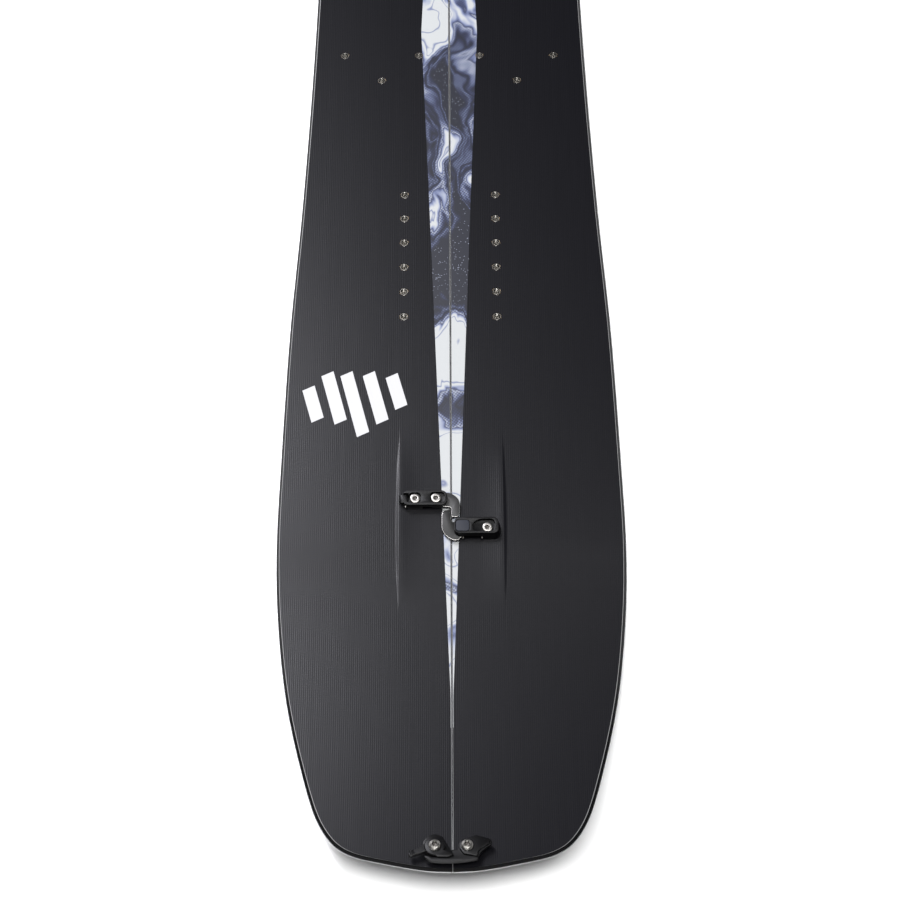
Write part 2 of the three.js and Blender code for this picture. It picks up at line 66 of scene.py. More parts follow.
# The board, as in the CAD.
NOSE = (37.7, 282.0)
TAIL = (26.2, 242.0)
ROCKER_POWER = 2.1
THICK_MIDDLE = 8.2
THICK_TIP = 4.6
OUTLINE = [
    (0, 0), (20, 1.1), (50, 6.6), (76, 13), (88, 19.4), (96.5, 28), (106.4, 45), (120.4, 89), (134.6, 150),
    (143.8, 222), (146.8, 282), (145.6, 362), (141.7, 492), (134.6, 617), (128, 782), (124.3, 952),
    (124.8, 1072), (130.6, 1227), (137.4, 1377), (134.8, 1432), (126.2, 1482), (113.2, 1524), (98, 1551),
    (87, 1565), (76, 1571.6), (50, 1577.9), (20, 1583), (0, 1584),
]
SPLINE_STEPS = 24  # points drawn between two corners of the outline
STATION_GAP = {"end": 2.5, "middle": 6.0}
END_REACH = 60.0  # the stations stand closer together this near to a tip
SEAM_GAP = 0.3  # from the seam plane to each ski
OUTLINE_KEEP = 0.09  # holds the fine outline inside the CAD's coarser one

# Layers of a ski.
EDGE = {"wide": 2.1, "high": 1.8, "break": 0.2}
SEAM_EDGE = {"x": 2.3, "break": 0.15, "end": 2.2}
SIDEWALL = {
    "proud": 0.3, "inner": 6.3, "bottom": 1.95, "shoulder": 2.62, "bevel": 2.3, "bevel_deep": 0.9,
    "foot": 0.5, "foot_high": 3.1,
}
SEAM_WALL = {"x": 3.3, "end": 6.6, "below": 0.06, "break": 0.12, "break_deep": 0.18}
BASE_SKIN = {"inset": 2.1, "x": 2.35, "low": 0.02, "high": 1.35}
LIP = 0.5  # width of the pale seam lip beside the topsheet
TOPSHEET_THICK = 0.74
TOPSHEET_INSET = 2.7
RIM = 0.5  # width of the bevel round the topsheet, painted pale as a highlight
RIM_COLUMNS = 5

# Printed wedge: its start, twice how far its mirror line lies past the middle, and how its half width grows.
WEDGE_START = 120.6
WEDGE_SHIFT = 40.0
WEDGE_GROWTH = {"slope": 0.0375, "bend": 0.0000110, "bend_start": 470.0}
RIDGE = {"x": 43.8, "start": 231.0, "end": 383.0, "wide": 2.5, "height": 0.75, "run": 25.0}
RIDGE_LEAST = 0.3  # width of the crease's flank where it fades out
# The crease's sides: shares of its run, and (share of the flank, share of the height).
INNER_SLOPE = (0.3, 0.6, 0.85)
OUTER_SLOPE = ((0.0, 1.0), (0.15, 0.97), (0.3, 0.82), (0.75, 0.25), (1.0, 0.0))
CREASE_FOOT = 0.6
LIP_DROP = 0.18
TOPSHEET_LEAST = 4.0  # the topsheet ends where it would be narrower than this
BASE_LEAST = 8.0  # and the base where its half width would be less
SEAM_ROOM = 3.0  # no station beside the seam stands nearer to its end
SQUEEZE_ROOM = 90.0  # a narrower stretch of topsheet draws the crease and the wedge in

# Threaded inserts: each node holds a group of barrels on one strip.
INSERT_NODES = ("front_binding_inserts", "rear_binding_inserts", "touring_inserts", "riser_inserts")
INSERT_FLANGE = 8.0
PITCH = 25.4
STRIP = {"corner": 5.0, "low": 1.65, "high": 2.45}
COLLAR_RADIUS = 3.6
HOLE_RADIUS = 3.85
THREAD = {"turns": 5, "crest": 2.5, "root": 2.85, "mouth": 2.55, "chamfer": 2.95, "bottom": 2.95}

# Printed bars: centre x, centre s and length of each.
DECAL_BARS = [
    (-119.0, 416.0, 36.0), (-101.0, 422.0, 52.0), (-83.0, 416.0, 64.0),
    (-65.0, 422.0, 52.0), (-47.0, 428.0, 36.0),
]
DECAL = {"lean": 0.24, "half_wide": 5.2, "slant": 5.0, "low": -0.03, "high": 0.04}

# Clips, in each clip's own frame: x across the seam, y towards the tail, heights above the deck.
SEAM_CLIP_S = {"front": 310.6, "rear": LENGTH - 310.6}
END_CLIP_S = {"nose": 16.5, "tail": LENGTH - 16.5}
OUTER_SCREW = (-30.4, 12.1)
INNER_SCREW = (-12.8, 12.5)
BODY_SCREW = (30.2, -14.6)
PIVOT = (9.4, -13.8)
LEVER_PIN = (-38.2, 4.6)  # x and height
PIN_RADIUS = 1.1
FLANK_PIN_X = (9.8, 25.7)
COVER = 4.8  # height of the room under a housing
WELL_FLOOR = 5.8
HOOK = {"low": 1.5, "high": 4.5, "hub": 6.3}
SCREW_BORE = 3.3
SEAM_SCREW = {"head": 4.15, "seat": 6.1, "high": 2.3}
DEEP_SCREW = {"head": 4.15, "seat": 6.3, "high": 2.5}
DOME_SCREW = {"head": 4.7, "seat": 10.2, "high": 3.1, "dome": True}
OVER = 12.0  # above every housing, for the shapes that cut them
END_LEVER_X = -13.7
END_BAR_X = 11.0
HUB = {"radius": 8.0, "gap": 0.8, "low": 4.6, "high": 9.9}
PAD_TOP = 4.3

# Mesh making.
EMPTY_SLOTS = 3  # given to a new mesh, so that the modifiers keep each face's number
MERGE_DISTANCE = 0.0005
SAME_POINT = 0.01

# Colours.
CHARCOAL = {
    "dark": (0.0023, 0.0023, 0.0034),
    "mean": (0.0026, 0.0026, 0.0038),
    "light": (0.0030, 0.0030, 0.0043),
}
INK = {
    "navy": (0.0035, 0.0045, 0.0105),
    "indigo": (0.018, 0.024, 0.062),
    "periwinkle": (0.095, 0.115, 0.200),
    "pale": (0.22, 0.24, 0.30),
    "ivory": (0.335, 0.345, 0.345),
}
# Inks in the order of the marbling's level, from dark to light.
MARBLING = [
    (0.00, "navy"), (0.30, "navy"), (0.35, "indigo"), (0.40, "periwinkle"),
    (0.43, "indigo"), (0.46, "navy"), (0.50, "indigo"), (0.54, "periwinkle"),
    (0.59, "pale"), (0.61, "indigo"), (0.64, "periwinkle"), (0.68, "pale"),
    (0.72, "ivory"), (0.77, "ivory"), (0.79, "periwinkle"), (0.82, "ivory"),
]
# How much lighter or darker the print is by metres from the nose: light near the point of the wedge,
# inked over the speckled stretch, and mixed beyond it.
LIGHTER = [
    (0.190, 0.44), (0.335, 0.38), (0.372, 0.22), (0.392, 0.32), (0.465, 0.24), (0.490, 0.10), (0.518, -0.36),
    (0.585, -0.34), (0.630, -0.02), (0.690, 0.05), (0.730, -0.10), (0.780, 0.04), (0.830, 0.30),
]

# Floor and camera, in metres and degrees.
FLOOR = {"reach": 6.0, "below": 0.0003}
VIEW = {"x": -0.0008, "s": 371.4, "tilt": 25.65, "distance": 1.709, "roll": -0.235, "sensor": 36, "lens": 80}
# Lights, in metres and watts: place, target, size, power and colour.
LIGHTS = {
    "key": ((-1.155, 1.206, 2.04), (0, -0.35, 0), (0.30, 2.1), 117, (0.965, 0.965, 1.03)),
    "top": ((0, -0.70, 2.6), (0, -0.7, 0), (2.6, 1.15), 95, (1, 1, 1)),
    "front": ((0, -2.6, 1.6), (0, -0.7, 0), (1.1, 0.40), 11, (1, 1, 1)),
}
WORLD_STRENGTH = 0.01


# ------------------------------------------------------------------ the board's surfaces
def rise(from_tip, end):
    share = min(1.0, max(0.0, (end[1] - from_tip) / end[1]))
    return end[0] * share**ROCKER_POWER


def underside(s):
    return rise(s, NOSE) + rise(LENGTH - s, TAIL)


def thickness(s):
    share = min(1.0, max(0.0, s / NOSE[1]), max(0.0, (LENGTH - s) / NOSE[1]))
    return THICK_TIP + (THICK_MIDDLE - THICK_TIP) * share


def topside(s):
    return underside(s) + thickness(s)


def top_slope(s):
    return (topside(s + 1) - topside(s - 1)) / 2


def y_at(s):
    return LOW.y + s


def between(p, q, start, end, u):
    """The point at u on the line that is at p at start and at q at end."""
    return p * ((end - u) / (end - start)) + q * ((u - start) / (end - start))


def spline(points, steps):
    """A centripetal Catmull-Rom curve through the points, with steps per span."""
    ends = [2 * points[0] - points[1], 2 * points[-1] - points[-2]]
    row = [ends[0], *points, ends[1]]
    curve = []
    for i in range(1, len(row) - 2):
        p = row[i - 1 : i + 3]
        t = [0.0]
        for a, b in zip(p, p[1:]):
            t.append(t[-1] + math.sqrt((b - a).length))
        for k in range(steps):
            u = t[1] + (t[2] - t[1]) * k / steps
            a = [between(p[j], p[j + 1], t[j], t[j + 1], u) for j in range(3)]
            b = [between(a[j], a[j + 1], t[j], t[j + 2], u) for j in range(2)]
            curve.append(between(b[0], b[1], t[1], t[2], u))
    curve.append(points[-1])
    return curve


def outline_stations():
    """Fine stations round the outline: half width, s and the inward normal."""
    curve = spline([Vector(p) for p in OUTLINE], SPLINE_STEPS)
    kept = [curve[0]]
    for p in curve[1:-1]:
        place = "end" if min(p.y, LENGTH - p.y) < END_REACH else "middle"
        if (p - kept[-1]).length >= STATION_GAP[place]:
            kept.append(p)
    kept.append(curve[-1])
    stations = []
    for i, p in enumerate(kept):
        if i in (0, len(kept) - 1):
            normal = Vector((0, 1 if i == 0 else -1))
        else:
            t = (kept[i + 1] - kept[i - 1]).normalized()
            normal = Vector((-t.y, t.x))
        stations.append((p, normal))
    return stations


STATIONS = outline_stations()


def inset(by):
    """The outline moved inwards, as (half width, s)."""
    rows = [p + normal * (by + OUTLINE_KEEP) for p, normal in STATIONS]
    return [(max(p.x, SEAM_GAP), p.y) for p in rows]


# ------------------------------------------------------------------ mesh helpers
def sign_of(side):
    return -1 if side == "left" else 1


def add_empty_slots(mesh):
    for _ in range(EMPTY_SLOTS):
        mesh.materials.append(None)


def new_object(name, mesh):
    piece = bpy.data.objects.new(name, mesh)
    bpy.context.scene.collection.objects.link(piece)
    return piece


def mesh_of(name, points, faces, slots=None):
    mesh = bpy.data.meshes.new(name)
    mesh.from_pydata([tuple(p) for p in points], [], faces)
    add_empty_slots(mesh)
    if slots:
        for face, index in zip(mesh.polygons, slots):
            face.material_index = index
    clean = bmesh.new()
    clean.from_mesh(mesh)
    bmesh.ops.remove_doubles(clean, verts=clean.verts, dist=MERGE_DISTANCE)
    bmesh.ops.dissolve_degenerate(clean, edges=clean.edges, dist=MERGE_DISTANCE)
    bmesh.ops.recalc_face_normals(clean, faces=clean.faces)
    clean.to_mesh(mesh)
    clean.free()
    return new_object(name, mesh)


def loft(name, sections):
    """A closed solid through rows of points with the same number of corners."""
    corners = len(sections[0])
    points = [p for section in sections for p in section]
    faces = []
    for i in range(len(sections) - 1):
        for k in range(corners):
            a, b = i * corners + k, i * corners + (k + 1) % corners
            faces.append((a, b, b + corners, a + corners))
    last = (len(sections) - 1) * corners
    faces.append(tuple(range(corners)))
    faces.append(tuple(last + k for k in range(corners)))
    return mesh_of(name, points, faces)


def applied(piece):
    """Turns the piece's modifiers into its mesh."""
    graph = bpy.context.evaluated_depsgraph_get()
    graph.update()
    mesh = bpy.data.meshes.new_from_object(piece.evaluated_get(graph))
    piece.modifiers.clear()
    piece.data = mesh
    return piece


def joined(name, pieces):
    """One object from several, keeping their places."""
    merged = bmesh.new()
    for piece in pieces:
        merged.from_mesh(piece.data)
    mesh = bpy.data.meshes.new(name)
    add_empty_slots(mesh)
    merged.to_mesh(mesh)
    merged.free()
    for piece in pieces:
        bpy.data.objects.remove(piece)
    return new_object(name, mesh)


def combined(piece, cutters, operation="DIFFERENCE"):
    """Cuts the cutters out of the piece, or adds them to it, one after another."""
    for cutter in cutters:
        change = piece.modifiers.new("change", "BOOLEAN")
        change.operation = operation
        change.solver = "EXACT"
        change.object = cutter
        applied(piece)
        bpy.data.objects.remove(cutter)
    return piece


def bevelled(piece, width, segments=2, angle=35, slot=-1):
    change = piece.modifiers.new("bevel", "BEVEL")
    change.width = width
    change.segments = segments
    change.limit_method = "ANGLE"
    change.angle_limit = math.radians(angle)
    change.harden_normals = False
    change.material = slot
    return applied(piece)


class Path:
    """A flat outline made of lines, curves and arcs."""

    def __init__(self, x, y):
        self.points = [Vector((x, y))]

    def line(self, *stops):
        self.points += [Vector(stop) for stop in stops]
        return self

    def quad(self, control, end, steps=10):
        a, b, c = self.points[-1].copy(), Vector(control), Vector(end)
        for k in range(1, steps + 1):
            t = k / steps
            self.points.append(a * (1 - t) ** 2 + b * 2 * t * (1 - t) + c * t * t)
        return self

    def arc(self, centre, radius, first, last, steps=16):
        for k in range(steps + 1):
            turn = math.radians(first + (last - first) * k / steps)
            self.points.append(Vector(centre) + radius * Vector((math.cos(turn), math.sin(turn))))
        return self


def rounded(x0, x1, y0, y1, r, steps=8):
    path = Path(x1 - r, y0)
    path.arc((x1 - r, y0 + r), r, -90, 0, steps).arc((x1 - r, y1 - r), r, 0, 90, steps)
    path.arc((x0 + r, y1 - r), r, 90, 180, steps).arc((x0 + r, y0 + r), r, 180, 270, steps)
    return path.points


def prism(name, outline, low, high, shrink=0.0):
    """An outline pulled up from low to high, drawn in by shrink at the top."""
    points = outline.points if isinstance(outline, Path) else outline
    lower = [p for i, p in enumerate(points) if (p - points[i - 1]).length > SAME_POINT]
    middle = sum(lower, Vector((0, 0))) / len(lower)
    count = len(lower)
    upper = [p + (middle - p).normalized() * shrink for p in lower]
    corners = [(p.x, p.y, low) for p in lower] + [(p.x, p.y, high) for p in upper]
    faces = [(k, (k + 1) % count, (k + 1) % count + count, k + count) for k in range(count)]
    faces += [tuple(range(count)), tuple(range(count, 2 * count))]
    return mesh_of(name, corners, faces)


def turned(name, profile, x=0.0, y=0.0, steps=40):
    """A profile of (radius, height) turned round the vertical through x, y."""
    points, faces = [], []
    for r, h in profile:
        for k in range(steps):
            turn = 2 * math.pi * k / steps
            points.append((x + r * math.cos(turn), y + r * math.sin(turn), h))
    for i in range(len(profile) - 1):
        for k in range(steps):
            a, b = i * steps + k, i * steps + (k + 1) % steps
            faces.append((a, b, b + steps, a + steps))
    faces += [tuple(range(steps)), tuple((len(profile) - 1) * steps + k for k in range(steps))]
    return mesh_of(name, points, faces)


def placed(piece, matrix):
    piece.data.transform(matrix)
    return piece


def post(x, y, radius, low, high, steps=32):
    return turned("cutter", [(radius, low), (radius, high)], x, y, steps)


def rod(x, h, radius, y0, y1, steps=20, round_end=0.3):
    """A rod along y with slightly rounded ends."""
    small = radius - round_end
    profile = [(small, y0), (radius, y0 + round_end), (radius, y1 - round_end), (small, y1)]
    laid_down = Matrix.Rotation(math.pi / 2, 4, "X") @ Matrix.Scale(-1, 4, (0, 0, 1))
    return placed(turned("rod", profile, steps=steps), Matrix.Translation((x, 0, h)) @ laid_down)


def settle(piece, name, body, materials, nodes=(), matrix=None, smooth=32):
    """Names the piece, brings it to metres, shades it and hands it to the frame."""
    piece.name = name
    piece.data.name = name
    if matrix is not None:
        piece.data.transform(matrix)
    piece.data.transform(Matrix.Scale(MM, 4))
    outward = bmesh.new()
    outward.from_mesh(piece.data)
    bmesh.ops.recalc_face_normals(outward, faces=outward.faces)
    outward.to_mesh(piece.data)
    outward.free()
    kept = [face.material_index for face in piece.data.polygons]
    piece.data.materials.clear()
    for made in materials:
        piece.data.materials.append(made)
    piece.data.polygons.foreach_set("material_index", [min(k, len(materials) - 1) for k in kept])
    piece.data.polygons.foreach_set("use_smooth", [True] * len(piece.data.polygons))
    piece.data.set_sharp_from_angle(angle=math.radians(smooth))
    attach(piece, body)
    if nodes:
        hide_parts(*nodes)
    return piece


# ------------------------------------------------------------------ materials
def material(name, colour, roughness, metallic=0.0, specular=0.5):
    made = bpy.data.materials.new(name)
    made.use_nodes = True
    shader = made.node_tree.nodes["Principled BSDF"]
    shader.inputs["Base Color"].default_value = (*colour, 1)
    shader.inputs["Roughness"].default_value = roughness
    shader.inputs["Metallic"].default_value = metallic
    shader.inputs["Specular IOR Level"].default_value = specular
    return made


class Nodes:
    """Short calls for building a node tree."""

    def __init__(self, made):
        self.tree = made.node_tree
        self.shader = self.tree.nodes["Principled BSDF"]
        self.place = self.tree.nodes.new("ShaderNodeTexCoord").outputs["Object"]

    def feed(self, socket, value):
        if isinstance(value, bpy.types.NodeSocket):
            self.tree.links.new(value, socket)
        else:
            socket.default_value = value

    def make(self, kind, settings=None, output=0, **inputs):
        node = self.tree.nodes.new(kind)
        for key, value in (settings or {}).items():
            setattr(node, key, value)
        for key, value in inputs.items():
            spot = int(key[1:]) if key[0] == "_" else key.replace("_", " ")
            self.feed(node.inputs[spot], value)
        return node.outputs[output]

    def maths(self, operation, a, b=0.0, clamp=False):
        return self.make("ShaderNodeMath", {"operation": operation, "use_clamp": clamp}, _0=a, _1=b)

    def scaled(self, x=1.0, y=1.0, z=1.0, source=None, turn=0.0):
        node = self.tree.nodes.new("ShaderNodeMapping")
        self.feed(node.inputs["Vector"], source or self.place)
        node.inputs["Scale"].default_value = (x, y, z)
        node.inputs["Rotation"].default_value = (0, 0, turn)
        return node.outputs[0]

    def waves(self, direction, scale, distortion, detail):
        bands = {"wave_type": "BANDS", "bands_direction": direction}
        shape = {"Scale": scale, "Distortion": distortion, "Detail": detail}
        return self.make("ShaderNodeTexWave", bands, Vector=self.place, **shape)

    def cells(self, scale, turn=0.0, randomness=1.0):
        """Distance to the nearest of scattered or gridded points on the topsheet."""
        nearest = {"feature": "F1"}
        shape = {"Scale": scale, "Randomness": randomness}
        return self.make("ShaderNodeTexVoronoi", nearest, Vector=self.scaled(1, 1, 0, turn=turn), **shape)

    def ramp(self, value, stops):
        node = self.tree.nodes.new("ShaderNodeValToRGB")
        self.feed(node.inputs[0], value)
        colours = node.color_ramp
        while len(colours.elements) < len(stops):
            colours.elements.new(0.5)
        for element, (spot, colour) in zip(colours.elements, stops):
            element.position = spot
            element.color = (*colour, 1)
        return node.outputs[0]

    def mix(self, factor, a, b):
        node = self.tree.nodes.new("ShaderNodeMix")
        node.data_type = "RGBA"
        self.feed(node.inputs["Factor"], factor)
        self.feed(node.inputs[6], a)
        self.feed(node.inputs[7], b)
        return node.outputs[2]

    def bump(self, height, strength, distance):
        made = self.make("ShaderNodeBump", Strength=strength, Distance=distance, Height=height)
        self.feed(self.shader.inputs["Normal"], made)


def grained(made, scale, strength, distance, stretch=(1, 1, 1)):
    """Adds a fine bump to a material."""
    nodes = Nodes(made)
    grain = nodes.make("ShaderNodeTexNoise", Vector=nodes.scaled(*stretch), Scale=scale, Detail=3.0)
    nodes.bump(grain, strength, distance)
    return made


def topsheet_material():
    """Satin charcoal with a fine cross weave."""
    made = material("topsheet_charcoal", CHARCOAL["mean"], 0.309, specular=0.212)
    nodes = Nodes(made)
    across = nodes.waves("X", 190.0, 0.4, 1.0)
    along = nodes.waves("Y", 150.0, 0.4, 1.0)
    weave = nodes.maths("ADD", across, nodes.maths("MULTIPLY", along, 0.6))
    streak = nodes.make("ShaderNodeTexNoise", Vector=nodes.scaled(90, 1.2, 1), Scale=9.0, Detail=4.0)
    height = nodes.maths("ADD", weave, nodes.maths("MULTIPLY", streak, 1.5))
    nodes.bump(height, 0.10, 0.0002)
    tone = nodes.ramp(streak, [(0.3, CHARCOAL["dark"]), (0.7, CHARCOAL["light"])])
    nodes.feed(nodes.shader.inputs["Base Color"], tone)
    return made


def grey(value):
    return (value, value, value)


def marbling_level(nodes):
    """Warped noise from 0, inked, to 1, bare, shifted along the board."""
    split = nodes.tree.nodes.new("ShaderNodeSeparateXYZ")
    nodes.feed(split.inputs[0], nodes.place)
    s = nodes.maths("SUBTRACT", split.outputs["Y"], LOW.y * MM)
    level_place = nodes.scaled(1, 1, 0)
    warp = nodes.make("ShaderNodeTexNoise", output="Color", Vector=level_place, Scale=13.0, Detail=2.5)
    add = {"operation": "MULTIPLY_ADD"}
    shifted = nodes.make("ShaderNodeVectorMath", add, _0=warp, _1=(0.12, 0.16, 0), _2=nodes.place)
    drawn_out = nodes.scaled(1.9, 0.75, 0, shifted, 0.75)
    swirl = nodes.make("ShaderNodeTexNoise", Vector=drawn_out, Scale=14.0, Detail=3.0, Roughness=0.45)
    shade = nodes.ramp(s, [(spot, grey(0.5 + lift)) for spot, lift in LIGHTER])
    spread = nodes.maths("MULTIPLY", nodes.maths("SUBTRACT", swirl, 0.5), 2.1)
    return nodes.maths("ADD", spread, shade, clamp=True)


def dotted(nodes, level, ink):
    """Prints dots on a slanted grid over the middle tones."""
    grid = nodes.cells(480.0, turn=0.62, randomness=0.0)
    dots = nodes.maths("LESS_THAN", grid, nodes.maths("SUBTRACT", 0.74, nodes.maths("MULTIPLY", level, 0.62)))
    middle = nodes.ramp(level, [(0.24, grey(0)), (0.31, grey(1)), (0.56, grey(1)), (0.66, grey(0))])
    strength = nodes.maths("MULTIPLY", dots, nodes.maths("MULTIPLY", middle, 0.75))
    return nodes.mix(strength, ink, (*INK["navy"], 1))


def speckled(nodes, level, ink):
    """Scatters pale specks over the darkest tones."""
    close = nodes.maths("LESS_THAN", nodes.cells(430.0), 0.17)
    dark = nodes.ramp(level, [(0.02, grey(0.8)), (0.24, grey(0.6)), (0.30, grey(0))])
    return nodes.mix(nodes.maths("MULTIPLY", close, dark), ink, (*INK["pale"], 1))


def graphic_material():
    """A marbled pattern with printed dots and a speckled dark stretch, white towards its point."""
    made = material("topsheet_graphic", INK["pale"], 0.40, specular=0.4)
    nodes = Nodes(made)
    level = marbling_level(nodes)
    ink = nodes.ramp(level, [(spot, INK[name]) for spot, name in MARBLING])
    printed = speckled(nodes, level, dotted(nodes, level, ink))
    nodes.feed(nodes.shader.inputs["Base Color"], printed)
    return made


def base_material():
    """Black base with a fine structure ground along the board."""
    made = material("base_black", (0.012, 0.013, 0.016), 0.32, specular=0.5)
    nodes = Nodes(made)
    nodes.bump(nodes.waves("X", 260.0, 1.0, 2.0), 0.18, 0.0002)
    return made


def sidewall_material():
    made = material("sidewall_grey", (0.0030, 0.0030, 0.0032), 0.60, specular=0.05)
    return grained(made, 900.0, 0.10, 0.0001, (1, 0.05, 1))


def plastic_material():
    made = material("clip_plastic", (0.0022, 0.0022, 0.0025), 0.38, specular=0.17)
    return grained(made, 2600.0, 0.35, 0.00012)


def hook_material(name, colour, metallic):
    return grained(material(name, colour, 0.48, metallic=metallic), 1800.0, 0.20, 0.0001)


def rubber_material():
    made = material("button_rubber", (0.010, 0.012, 0.019), 0.60, specular=0.3)
    return grained(made, 1500.0, 0.15, 0.0001)


def brushed(name, colour, roughness, stretch):
    made = material(name, colour, roughness, metallic=1.0)
    return grained(made, 1.0, 0.12, 0.0001, stretch)


def cad_material(node, made):
    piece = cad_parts[node]
    piece.data.materials.clear()
    piece.data.materials.append(made)


M_TOPSHEET = topsheet_material()
M_GRAPHIC = graphic_material()
M_DECAL = material("decal_white", (0.40, 0.40, 0.405), 0.45)
# painted highlight: the pale grey on the topsheet's rim bevel stands in for the light caught along its edge
M_RIM_HIGHLIGHT = material("topsheet_rim_painted_highlight", (0.20, 0.20, 0.20), 0.45)
M_LIP = material("seam_lip_grey", (0.085, 0.087, 0.088), 0.45)
M_SIDEWALL = sidewall_material()
M_CORE = material("core_wood", (0.50, 0.36, 0.20), 0.7)
M_BASE = base_material()
M_EDGE = brushed("edge_steel", (0.46, 0.46, 0.47), 0.30, (40, 900, 900))
M_INSERT = material("insert_stainless", (0.40, 0.385, 0.36), 0.26, metallic=1.0)
M_BODY = plastic_material()
M_HOOK = hook_material("hook_steel", (0.038, 0.038, 0.038), 0.7)
M_HOOK_DARK = hook_material("hook_steel_dark", (0.013, 0.013, 0.0125), 0.6)
# painted highlight: the bright steel on the hooks' bevelled edges stands in for light caught along them
M_HOOK_EDGE_HIGHLIGHT = material("hook_edge_painted_highlight", (0.30, 0.29, 0.28), 0.32, metallic=1.0)
M_BUTTON = rubber_material()
M_SCREW = material("screw_stainless", (0.25, 0.24, 0.225), 0.36, metallic=1.0)
M_DOME = material("domed_screw_stainless", (0.46, 0.445, 0.415), 0.34, metallic=1.0)
# painted shade: the dark colour on a socket's inner faces stands in for the shade in the hollow
M_SOCKET_SHADE = material("screw_socket", (0.05, 0.045, 0.04), 0.45, metallic=0.6)
SCREWS = [M_SCREW, M_SOCKET_SHADE]
DOMES = [M_DOME, M_SOCKET_SHADE]


# ------------------------------------------------------------------ the skis
def wedge_half(s):
    """Half width of the graphic; it runs on past the middle and narrows again to the tail."""
    near = min(s, LENGTH + WEDGE_SHIFT - s) - WEDGE_START
    beyond = max(0.0, near - WEDGE_GROWTH["bend_start"])
    return max(0.0, WEDGE_GROWTH["slope"] * near + WEDGE_GROWTH["bend"] * beyond**2)


def ridge_shape(s):
    """Width of the pressed crease's steep outer flank, and its height, at s."""
    middle = (RIDGE["start"] + RIDGE["end"]) / 2
    reach = (RIDGE["end"] - RIDGE["start"]) / 2
    share = max(0.0, 1 - ((s - middle) / reach) ** 2)
    return RIDGE_LEAST + RIDGE["wide"] * share**0.8, RIDGE["height"] * share


def topsheet_row(w, s):
    """Places across the topsheet from the seam to the rim: (x, height above the flat)."""
    start = SEAM_GAP + LIP
    squeeze = min(1.0, max(0.0, w - start) / SQUEEZE_ROOM)
    flank, lift = ridge_shape(s)
    flank *= squeeze
    wedge = start + max(0.3, wedge_half(s) - start) * squeeze
    crest = start + (RIDGE["x"] - start) * squeeze
    foot = max(crest - RIDGE["run"] * squeeze, wedge + 0.05 * squeeze)
    beyond = crest + flank + CREASE_FOOT * squeeze
    last = w - RIM * squeeze
    row = [(start, -LIP_DROP), (start + LIP_DROP * squeeze, 0.0), (wedge, 0.0), (foot, 0.0)]
    row += [(foot + (crest - foot) * share, lift * share**2) for share in INNER_SLOPE]
    row += [(crest + out * flank, lift * high) for out, high in OUTER_SLOPE]
    row.append((beyond, 0.0))
    row += [(beyond + (last - beyond) * k / RIM_COLUMNS, 0.0) for k in range(1, RIM_COLUMNS + 1)]
    row.append((w, -0.5 * RIM * squeeze))
    return row


def topsheet_slot(k, count, graphic):
    """1 for the printed wedge beside the seam, 2 for the rim bevel painted pale as a highlight, and 0 for the
    rest.
    """
    if k == count - 2:
        return 2
    return 1 if graphic and k < 2 else 0


def topsheet_solid(side):
    """The topsheet as rows across it, with each face's material slot."""
    rows = [(w, s) for w, s in inset(TOPSHEET_INSET) if w > SEAM_GAP + LIP + TOPSHEET_LEAST]
    count = len(topsheet_row(*rows[0]))
    ring = 2 * count
    points, faces, slots = [], [], []
    for w, s in rows:
        upper = [(sign_of(side) * x, y_at(s), topside(s) + h) for x, h in topsheet_row(w, s)]
        points += upper + [(x, y, topside(s) - TOPSHEET_THICK) for x, y, _ in upper]
    for i, ((_, s), (_, s_next)) in enumerate(zip(rows, rows[1:])):
        graphic = min(s, LENGTH + WEDGE_SHIFT - s_next) >= WEDGE_START
        for k in range(count - 1):
            a = i * ring + k
            b = a + count
            faces += [(a, a + 1, a + 1 + ring, a + ring), (b, b + ring, b + 1 + ring, b + 1)]
            slots += [topsheet_slot(k, count, graphic), 0]
        for a in (i * ring, i * ring + count - 1):
            faces.append((a, a + ring, a + ring + count, a + count))
            slots.append(0)
    for a in (0, (len(rows) - 1) * ring):
        faces.append((*range(a, a + count), *reversed(range(a + count, a + ring))))
        slots.append(0)
    return mesh_of("topsheet", points, faces, slots)


def topsheet(side):
    low, high = THICK_MIDDLE - 3, THICK_MIDDLE + 3
    holes = joined("holes", [post(x, y, HOLE_RADIUS, low, high) for x, y in insert_places(side)])
    sheet = combined(topsheet_solid(side), [holes])
    made = [M_TOPSHEET, M_GRAPHIC, M_RIM_HIGHLIGHT]
    settle(sheet, f"{side}_topsheet_skin", f"{side}_ski", made, [f"{side}_topsheet"], smooth=24)


def insert_group(side, node):
    """Centres of the inserts of one node, worked out from the node's box."""
    low, high = (Vector(c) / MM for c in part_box(f"{side}_{node}"))
    x0, x1 = low.x + INSERT_FLANGE, high.x - INSERT_FLANGE
    y0, y1 = low.y + INSERT_FLANGE, high.y - INSERT_FLANGE
    if node == "touring_inserts":
        return [(x0, y1), (x1, y1), ((x0 + x1) / 2, y0)]
    if node == "riser_inserts":
        return [(x0, y0), (x0, y1)]
    count = round((y1 - y0) / PITCH)
    return [(x0, y0 + k * PITCH) for k in range(count + 1)]


def insert_places(side):
    return [place for node in INSERT_NODES for place in insert_group(side, node)]


def insert_barrel(x, y):
    """A stainless barrel with a chamfered rim and a threaded bore."""
    top = THICK_MIDDLE - 0.03
    crest, root = THREAD["crest"], THREAD["root"]
    profile = [(3.2, 1.7), (COLLAR_RADIUS, 2.0), (COLLAR_RADIUS, top - 0.25), (COLLAR_RADIUS - 0.25, top)]
    profile += [(THREAD["chamfer"], top), (THREAD["mouth"], top - 0.4)]
    for turn in range(THREAD["turns"]):
        depth = top - 0.4 - turn
        profile += [(root, depth - 0.25), (root, depth - 0.45), (crest, depth - 0.75), (crest, depth - 0.95)]
    profile.append((crest, THREAD["bottom"]))
    return turned("barrel", profile, x, y, 28)


